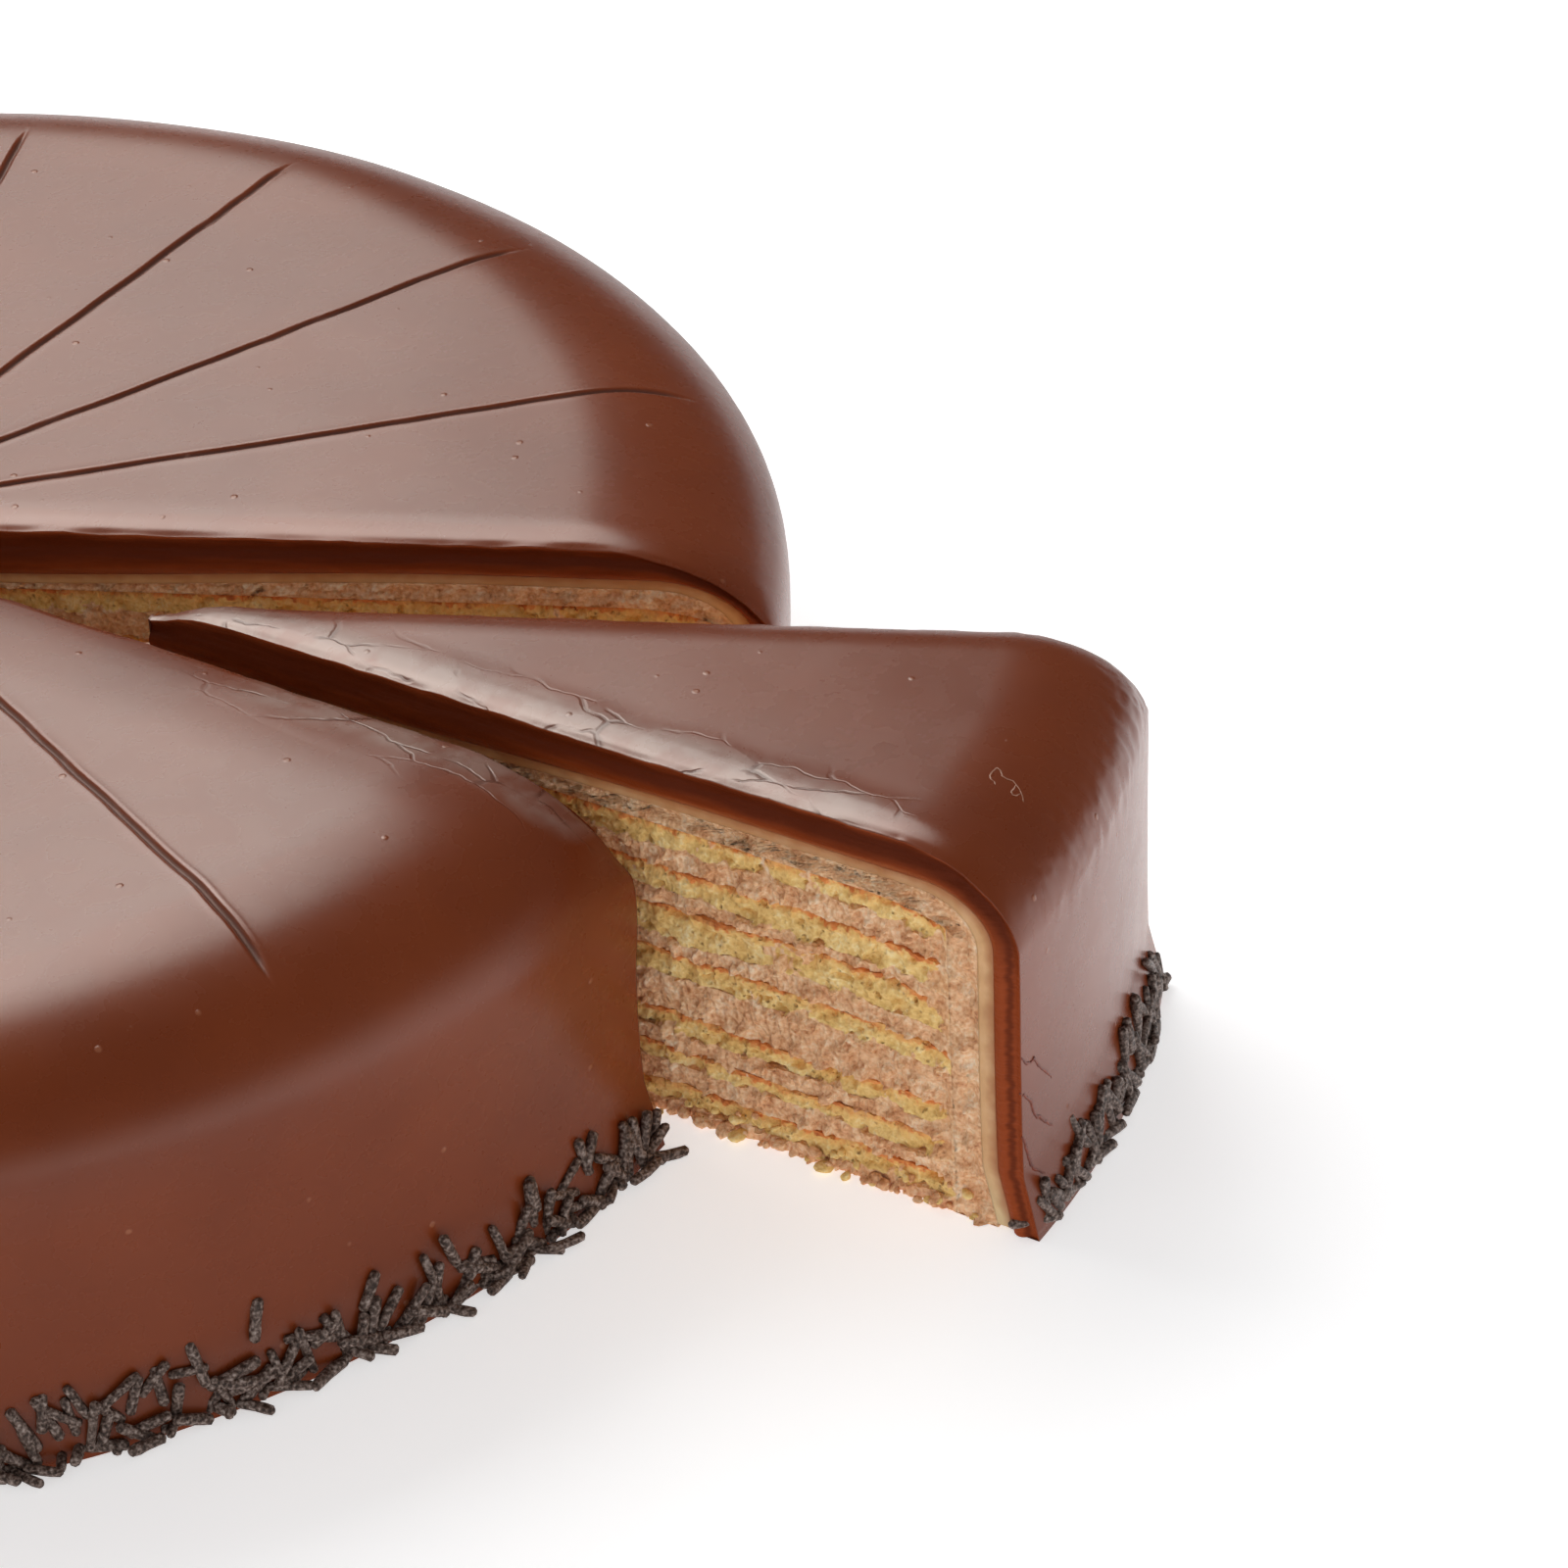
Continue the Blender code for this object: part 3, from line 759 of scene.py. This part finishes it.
def buildThreads(name, skin, material, seed):
    # thin uneven tubes half sunk in the skin
    form, sides = threadForm[name], 6
    draw = random.Random(seed)
    allVerts, allFaces = [], []
    for line in form["lines"]:
        at = np.linspace(0.0, len(line) - 1.0, 5 * (len(line) - 1) + 1)
        turn, across, level = [np.interp(at, np.arange(len(line)), column) for column in zip(*line)]
        x = across * np.cos(np.radians(turn)) + slicePlace[0]
        y = across * np.sin(np.radians(turn)) + slicePlace[1]
        spots, normals = [], []
        for place in zip(x, y, level):
            moved = Vector(place) + Vector([draw.uniform(-1.0, 1.0) * form["jitter"] for axis in range(3)])
            spot, normal = skin.find_nearest(moved)[:2]
            spots.append(spot)
            normals.append(normal)
        for index, (spot, normal) in enumerate(zip(spots, normals)):
            ahead = (spots[min(index + 1, len(spots) - 1)] - spots[max(index - 1, 0)]).normalized()
            aside = ahead.cross(normal).normalized()
            taper = 0.35 + 0.65 * math.sin(math.pi * index / (len(spots) - 1)) ** 0.5
            size = form["size"] * taper * draw.uniform(0.75, 1.20)
            base = len(allVerts)
            for side in range(sides):
                angle = 2.0 * math.pi * side / sides
                allVerts.append(spot + (aside * math.cos(angle) + 0.6 * normal * math.sin(angle)) * size)
            if index > 0:
                allFaces += band(base - sides, base, sides)
            if index in (0, len(spots) - 1):
                allFaces.append(tuple(range(base, base + sides)))
    piece = makeMesh(name, [tuple(vert) for vert in allVerts], allFaces, (0.0, 0.0), [material])
    settle(piece, None)
    print(name, len(allFaces), "faces")


corners = [vert.co for vert in sliceGlaze.data.vertices]
sliceSurface = BVHTree.FromPolygons(corners, [face.vertices[:] for face in sliceGlaze.data.polygons])
buildThreads("scratch", sliceSurface, scratch, 71)
buildThreads("splits", sliceSurface, splitRed, 72)


# marzipan and the coat of cream

def creamRelief(reach, level, seed):
    # how far a cut face of cream stands in from the knife's plane
    drag = layered(reach, level * 0.35, 0.0, 0.0015, seed)
    lumps = smooth(layered(reach, level, 0.0, 0.0020, seed + 5), 0.08, 0.50)
    torn = smooth(reach, 0.1165, 0.1205) * layered(reach, level, 0.0, 0.0040, seed + 6)
    return 0.00035 + 0.00065 * drag - 0.00095 * lumps - 0.0008 * torn


def spongeRelief(reach, level, seed):
    crumb = layered(reach, level, 0.0, 0.0020, seed + 2)
    holes = smooth(grain(reach, level * 1.3, 0.0, 0.0014, seed + 3), 0.30, 0.80)
    return 0.00030 + 0.00065 * crumb + 0.0011 * holes


def marzipanCap(line, share, sign):
    across = np.hypot(line[:, 0], line[:, 1])
    depth = 0.0002 * math.sin(math.pi * share)
    return depth * grain(across, line[:, 2], 0.0, 0.0018, 41) - 0.3 * depth


def creamCap(line, share, sign):
    across = np.hypot(line[:, 0], line[:, 1])
    return -1.4 * creamRelief(across, line[:, 2], 43) * min(1.0, 3.0 * share, 3.0 - 3.0 * share)


coatForm = {
    "cake": {"plain": 84, "counts": (110, 16, 30)},
    "slice": {"plain": 16, "counts": (240, 40, 90)},
    "marzipanFoot": 0.0006,  # trimmed just clear of the plate
}


def buildSkin(who, kind, outCurve, inCurve, cap, material):
    angles = np.linspace(*bodies[who][1:], coatForm[who]["plain"])
    outer, inner = sweep(outCurve, angles), sweep(inCurve, angles)
    name = who + kind.replace("_", "") + "Skin"
    piece = sectorShell(name, who, outer, inner, 8, cap, [material])
    settle(piece, who + "_" + kind)
    print(name, len(piece.data.polygons), "faces")


def coatInside(counts):
    # the coat's inner side: flat over the top sponge, then straight down its rim
    flatCount, shoulderCount, wallCount = counts
    lid = topOnAxis("sponge_1") + 0.1 * gap
    rim = stackRadius + 0.1 * gap
    flat = np.linspace(0.0, 1.0, flatCount + shoulderCount - 1) * rim
    level = lid - droopAt(np.minimum(flat, stackRadius), lid)
    wall = np.linspace(level[-1], 0.0, wallCount + 2)[1:]
    return np.concatenate([flat, np.full(wallCount + 1, rim)]), np.concatenate([level, wall])


for who in bodies:
    counts, foot = coatForm[who]["counts"], coatForm["marzipanFoot"]
    outCurve = skinCurve(who, "marzipanOut", counts, foot)
    inCurve = skinCurve(who, "marzipanIn", counts, foot)
    buildSkin(who, "marzipan", outCurve, inCurve, marzipanCap, marzipan)
    outCurve = skinCurve(who, "coatOut", counts)
    buildSkin(who, "cream_coat", outCurve, coatInside(counts), creamCap, cream)


# the stack of sponges and creams

layerForm = {
    "cake": {"fine": 0.00045, "coarse": 0.0012, "rim": 60},
    "slice": {"fine": 0.00023, "coarse": 0.0011, "rim": 20},
    "tornFrom": 0.1205,  # towards the rim the sponge is torn and covered with cream
    "tornTo": 0.1255,
}


def edgeLevel(index, reach, face, who):
    # the level of one boundary in the stack, index counted from the bottom
    if index == 0:
        return np.zeros_like(reach)
    level = topOnAxis(layerNames[index - 1]) + 0.5 * gap
    if index == len(layerNames):
        return level - 0.5 * gap - droopAt(reach, level)
    seed = 60 + index * 3 + (500 if who == "cake" else 0)
    wave = 0.00045 * grain(reach, face * 0.05, 0.0, 0.017, seed)
    wave = wave + 0.00045 * layered(reach, face * 0.05, 0.0, 0.0040, seed + 1, 4)
    return level - droopAt(reach, level) + wave


def buildLayer(who, index):
    form = layerForm[who]
    place, start, end = bodies[who]
    name = layerNames[index]
    kind = name.split("_")[0]
    reachA = np.arange(0.0, stackRadius, form["fine"])
    reachB = np.arange(0.0, stackRadius, form["coarse"])[::-1]
    turns = np.linspace(start, end, form["rim"])
    reach = np.concatenate([reachA, np.full(len(turns), stackRadius), reachB[:-1]])
    angle = np.concatenate([np.full(len(reachA), start), turns, np.full(len(reachB) - 1, end)])
    face = np.concatenate([np.zeros(len(reachA)), np.ones(len(turns)), np.full(len(reachB) - 1, 2.0)])
    onCut = [face == 0.0, face == 2.0]
    nx = np.select(onCut, [math.sin(start), -math.sin(end)], 0.0)
    ny = np.select(onCut, [-math.cos(start), math.cos(end)], 0.0)
    low = edgeLevel(index, reach, face, who)
    high = edgeLevel(index + 1, reach, face, who)
    rows = max(4, int((high.mean() - low.mean()) / form["fine"]))
    seed = 200 + (500 if who == "cake" else 0)
    along = reach + face * 0.3
    hold = smooth(np.minimum(reach, stackRadius - reach), 0.0, 0.0015) * (face != 1.0)
    verts, fromTop, creamOver = [], [], []
    for row in range(rows + 1):
        share = row / rows
        level = low + (high - low) * share
        over = np.ones_like(level)
        relief = creamRelief(along, level, seed)
        if kind == "sponge":
            over = layered(along, level, 0.0, 0.0030, seed + 9)
            over = over + np.exp(-(level - low) / 0.0004) * 0.45
            over = over + smooth(reach, layerForm["tornFrom"], layerForm["tornTo"]) * 0.8
            over = smooth(over, 0.44, 0.64)
            relief = relief * over + spongeRelief(along, level, seed) * (1.0 - over)
        move = -relief * hold
        x = reach * np.cos(angle) + nx * move
        y = reach * np.sin(angle) + ny * move
        verts.append(np.stack([x, y, level], -1))
        fromTop.append(high - level)
        creamOver.append(over)
    count = len(reach)
    faces = []
    for row in range(rows):
        faces += band(row * count, (row + 1) * count, count)
    faces.append(tuple(range(count))[::-1])
    faces.append(tuple(range(rows * count, (rows + 1) * count)))
    material = sponge if kind == "sponge" else cream
    pieceName = who + name.replace("_", "").capitalize() + "Layer"
    marks = {"fromTop": np.concatenate(fromTop), "creamOver": np.concatenate(creamOver)}
    piece = makeMesh(pieceName, np.concatenate(verts), faces, place, [material], marks)
    piece.data.set_sharp_from_angle(angle=math.radians(60.0))
    settle(piece, who + "_" + name)
    return len(faces)


for who in bodies:
    total = sum(buildLayer(who, index) for index in range(len(layerNames)))
    print(who, "layers", total, "faces")


# crumbs and small curds that the knife left along the foot of the cut faces

crumbForm = {
    "sizes": (0.00045, 0.00125),
    "count": 170,
    "faces": (("slice", nearCut, 1.0, 0.40), ("slice", farCut, -1.0, 0.18), ("cake", farCut, 1.0, 0.22),
              ("cake", nearCut, -1.0, 0.20)),  # body, direction of the cut, side, share of the crumbs
    "reach": (0.030, 0.1285),
    "out": 0.0011,
    "high": 0.0042,
}


def buildCrumbs(name, material, seed):
    draw = random.Random(seed)
    form = crumbForm
    model = bmesh.new()
    bmesh.ops.create_icosphere(model, subdivisions=2, radius=1.0)
    ball = np.array([vert.co[:] for vert in model.verts])
    ballFaces = [tuple(vert.index for vert in face.verts) for face in model.faces]
    model.free()
    allVerts, allFaces, base = [], [], 0
    for who, angle, side, share in form["faces"]:
        place = bodies[who][0]
        for index in range(int(form["count"] * share)):
            size = form["sizes"][0] + (form["sizes"][1] - form["sizes"][0]) * draw.random() ** 2.2
            reach = draw.uniform(*form["reach"])
            level = size * 0.7 + form["high"] * draw.random() ** 3.0
            off = form["out"] * draw.random() ** 1.5 * (1.0 - level / 0.008)
            lumpy = 1.0 + 0.38 * grain(ball[:, 0] + index * 7.0, ball[:, 1], ball[:, 2], 0.8, seed)
            lumpy = lumpy + 0.16 * grain(ball[:, 0], ball[:, 1] + index * 5.0, ball[:, 2], 0.35, seed + 1)
            stretch = np.array([draw.uniform(0.8, 1.3), draw.uniform(0.7, 1.1), draw.uniform(0.6, 1.0)])
            verts = ball * lumpy[:, None] * stretch * size
            verts = verts @ np.array(Matrix.Rotation(draw.uniform(0.0, 6.28), 3, "Z"))
            verts[:, 0] += place[0] + reach * math.cos(angle) + side * off * math.sin(angle)
            verts[:, 1] += place[1] + reach * math.sin(angle) - side * off * math.cos(angle)
            verts[:, 2] = np.maximum(verts[:, 2] + level, 0.00003)
            allVerts.append(verts)
            allFaces += [tuple(base + corner for corner in corners) for corners in ballFaces]
            base += len(verts)
    marks = {"fromTop": np.full(base, 0.01), "creamOver": np.zeros(base)}
    piece = makeMesh(name, np.concatenate(allVerts), allFaces, (0.0, 0.0), [material], marks)
    settle(piece, None)
    print(name, len(allFaces), "faces")


buildCrumbs("spongeCrumbs", sponge, 61)
buildCrumbs("creamCrumbs", cream, 62)


# sprinkles

sprinkleForm = {
    "radius": 0.00073,
    "shortest": 0.0050,
    "longest": 0.0076,
    "band": 0.0080,
    "strayShare": 0.014,
    "strayTop": 0.015,
    "lean": 0.85,
    "tip": (-0.45, 0.10),  # the lower end leans out
    "yaw": 1.3,
    "cake": {"count": 980, "seed": 21, "margin": 0.008, "heap": 0.0016, "strewn": 0.0040},
    "slice": {"count": 62, "seed": 22, "margin": 0.012, "heap": 0.0004, "strewn": 0.0014},
}  # heap and strewn: how far out the heap and the loose ones reach


def rodPoints(draw, length):
    # one rough rod along z: rings of points and its faces
    sides, radiusHere = 8, sprinkleForm["radius"] * draw.uniform(0.85, 1.12)
    shares = (0.0, 0.05, 0.25, 0.5, 0.75, 0.95, 1.0)
    sizes = (0.45, 0.92, 1.0, 0.98, 1.0, 0.92, 0.45)
    bend = draw.uniform(-0.05, 0.05) * length
    verts = []
    for share, size in zip(shares, sizes):
        for side in range(sides):
            turn = 2.0 * math.pi * side / sides
            reach = radiusHere * size * draw.uniform(0.92, 1.07)
            sag = bend * (1.0 - (2.0 * share - 1.0) ** 2)
            verts.append((reach * math.cos(turn) + sag, reach * math.sin(turn), (share - 0.5) * length))
    faces = []
    for ring in range(len(shares) - 1):
        faces += band(ring * sides, (ring + 1) * sides, sides)
    faces.append(tuple(range(sides))[::-1])
    last = (len(shares) - 1) * sides
    faces.append(tuple(range(last, last + sides)))
    return np.array(verts), faces


def buildSprinkles(who):
    form, own = sprinkleForm, sprinkleForm[who]
    draw = random.Random(own["seed"])
    allVerts, allFaces, base = [], [], 0
    name = who + "Sprinkles"
    place, start, end = bodies[who]
    start, end = start + own["margin"], end - own["margin"]
    for index in range(own["count"]):
        length = form["shortest"] + (form["longest"] - form["shortest"]) * draw.random() ** 1.3
        angle = start + (end - start) * (index + draw.random()) / own["count"]
        lean = draw.gauss(0.0, form["lean"])
        halfRise = 0.5 * length * abs(math.cos(lean)) + form["radius"]
        stray = draw.random() < form["strayShare"]
        level = draw.uniform(0.006, form["strayTop"]) if stray else form["band"] * draw.random() ** 1.25
        level = max(level, halfRise + 0.0001)
        heap = own["heap"] * (1.0 - level / form["band"])
        deep = 0.0004 if stray or level > 0.007 else 0.0002 + heap * draw.random()
        tip = draw.uniform(*form["tip"])
        turn = Matrix.Rotation(angle, 3, "Z") @ Matrix.Rotation(tip, 3, "Y") @ Matrix.Rotation(lean, 3, "X")
        if index % 3 == 0:  # every third one lies on the plate, pointing anywhere
            level = form["radius"] * draw.uniform(1.0, 2.6)
            yaw = draw.uniform(-form["yaw"], form["yaw"])
            deep = own["strewn"] * draw.random() ** 0.8 - 0.5 * length * abs(math.sin(yaw))
            turn = Matrix.Rotation(angle + yaw, 3, "Z") @ Matrix.Rotation(0.5 * math.pi + 0.3 * tip, 3, "X")
        out = radius + skinForms[who]["spread"] - float(wallInset(who, np.array(level))) + deep
        verts, faces = rodPoints(draw, length)
        verts = verts @ np.array(turn).T + np.array([out * math.cos(angle), out * math.sin(angle), level])
        verts[:, 2] = np.maximum(verts[:, 2], 0.00005)
        allVerts.append(verts)
        allFaces += [tuple(base + corner for corner in corners) for corners in faces]
        base += len(verts)
    piece = makeMesh(name, np.concatenate(allVerts), allFaces, place, [sprinkle])
    settle(piece, None)
    print(name, len(allFaces), "faces")


buildSprinkles("cake")
buildSprinkles("slice")


# floor, light and camera

floorLook = {
    "pale": [(0.3, (0.86, 0.86, 0.87)), (0.7, (0.88, 0.88, 0.89))],
    "glow": 0.53,
    "mirrored": (0.06, 0.74),  # its glow as the glaze mirrors it: elsewhere, and beside the cake
    "besideX": (0.07, 0.16),
    "besideY": (0.02, 0.10),
}


def makeFloor():
    look = floorLook
    material, tree, shader = newMaterial("paleFloor")
    point = objectPoint(tree)
    setSockets(shader, {"Roughness": 0.6, "Specular IOR Level": 0.2})
    shader.inputs["Emission Color"].default_value = (1.0, 1.0, 1.0, 1.0)
    parts = addNode(tree, "SeparateXYZ", {0: point}).outputs
    right = stepAt(tree, parts["X"], *look["besideX"])
    front = stepAt(tree, parts["Y"], *look["besideY"], 1.0, 0.0)
    mirrored = stepAt(tree, calc(tree, "MULTIPLY", right, front), 0.0, 1.0, *look["mirrored"])
    glossyRay = addNode(tree, "LightPath").outputs["Is Glossy Ray"]
    glow = addNode(tree, "Mix", {0: glossyRay, 2: look["glow"], 3: mirrored}).outputs[0]
    tree.links.new(glow, shader.inputs["Emission Strength"])
    bpy.ops.mesh.primitive_plane_add(size=12.0, location=(0.0, 0.0, -0.0001))
    floor = bpy.context.object
    floor.name = "floor"
    pale = rampAt(tree, noiseAt(tree, point, 0.02, 3.0), look["pale"])
    floor.data.materials.append(dressed(material, pale))


lamps = {  # direction from the cake, elevation, distance, width, height, radiance, only mirrored
    "windowLight": (-19.0, 48.0, 1.30, 1.24, 0.84, 3.0, False),
    "windowHigh": (-18.0, 58.0, 1.30, 1.24, 1.00, 5.1, True),
    "windowBright": (-32.0, 62.0, 1.28, 0.80, 0.50, 3.6, True),
    "windowLow": (-14.0, 27.0, 1.30, 1.24, 0.42, 2.2, True),
}
mirroredTone = (1.0, 1.0, 0.94)
skyStops = [  # from the horizon to overhead
    (0.00, (1.45, 1.45, 1.45)), (0.25, (1.05, 1.05, 1.05)),
    (0.50, (0.42, 0.42, 0.42)), (1.00, (0.16, 0.16, 0.16)),
]
mirroredStops = [  # what the glaze mirrors apart from the lamps, from the front to the back
    (0.00, (0.03, 0.03, 0.03)), (0.50, (0.04, 0.04, 0.04)), (0.90, (0.03, 0.03, 0.03)),
]
frontGlow = {"strength": 1.0, "top": 0.42, "tone": (1.15, 1.12, 1.08)}  # low in front of the cake


def addLamp(name, azimuth, elevation, distance, width, tall, radiance, mirrored):
    # azimuth 0 is behind the cake, 90 is to its right
    turn, rise = math.radians(azimuth), math.radians(elevation)
    away = Vector((math.sin(turn) * math.cos(rise), math.cos(turn) * math.cos(rise), math.sin(rise)))
    light = bpy.data.lights.new(name, "AREA")
    light.shape = "RECTANGLE"
    light.size, light.size_y = width, tall
    light.energy = radiance * math.pi * width * tall
    light.color = mirroredTone if mirrored else (1.0, 1.0, 1.0)
    lamp = bpy.data.objects.new(name, light)
    lamp.location = away * distance
    lamp.rotation_mode = "QUATERNION"
    lamp.rotation_quaternion = away.to_track_quat("Z", "Y")
    lamp.visible_camera = False
    lamp.visible_glossy = mirrored
    lamp.visible_diffuse = not mirrored
    bpy.context.scene.collection.objects.link(lamp)


def makeWorld():
    world = bpy.data.worlds.new("studio")
    bpy.context.scene.world = world
    world.use_nodes = True
    tree = world.node_tree
    tree.nodes.clear()
    direction = addNode(tree, "TexCoord").outputs["Generated"]
    parts = addNode(tree, "SeparateXYZ", {0: direction}).outputs
    tent = rampAt(tree, parts["Z"], skyStops)
    mirrored = rampAt(tree, parts["Y"], mirroredStops)
    low = stepAt(tree, parts["Z"], 0.0, frontGlow["top"], frontGlow["strength"], 0.0)
    low = calc(tree, "MULTIPLY", low, stepAt(tree, parts["Y"], -0.25, 0.15, 1.0, 0.0))
    mirrored = mixColour(tree, low, mirrored, frontGlow["tone"])
    glossyRay = addNode(tree, "LightPath").outputs["Is Glossy Ray"]
    both = mixColour(tree, glossyRay, tent, mirrored)
    background = addNode(tree, "Background", {"Color": both})
    addNode(tree, "OutputWorld", {"Surface": background.outputs[0]})


shot = {  # seen from in front of the cake's axis, degrees; the picture is 1600 wide
    "distance": 0.76604,
    "elevation": 34.687,
    "pan": 9.902,
    "tilt": -0.963,
    "roll": -10.234,
    "focalPixels": 5375.5,
    "pictureWidth": 1600.0,
}


def swung(a, b, angle):
    # two directions at right angles, both turned from a towards b
    return a * math.cos(angle) + b * math.sin(angle), b * math.cos(angle) - a * math.sin(angle)


def makeCamera():
    rise, pan, tilt, roll = [math.radians(shot[key]) for key in ("elevation", "pan", "tilt", "roll")]
    place = Vector((0.0, -math.cos(rise), math.sin(rise))) * shot["distance"]
    ahead = -place.normalized()
    right = Vector((1.0, 0.0, 0.0))
    up = right.cross(ahead)
    ahead, right = swung(ahead, right, pan)
    ahead, up = swung(ahead, up, tilt)
    right, up = swung(right, up, roll)
    lens = bpy.data.cameras.new("camera")
    lens.sensor_width = 36.0
    lens.lens = lens.sensor_width * shot["focalPixels"] / shot["pictureWidth"]
    lens.clip_start, lens.clip_end = 0.02, 50.0
    camera = bpy.data.objects.new("camera", lens)
    turn = Matrix((right, up, -ahead)).transposed().to_4x4()
    camera.matrix_world = Matrix.Translation(place + Vector((axisX, axisY, 0.0))) @ turn
    bpy.context.scene.collection.objects.link(camera)
    bpy.context.scene.camera = camera


makeFloor()
for lampName, values in lamps.items():
    addLamp(lampName, *values)
makeWorld()
makeCamera()
bpy.context.scene.view_settings.view_transform = "Standard"
print("stage, lights and camera set")
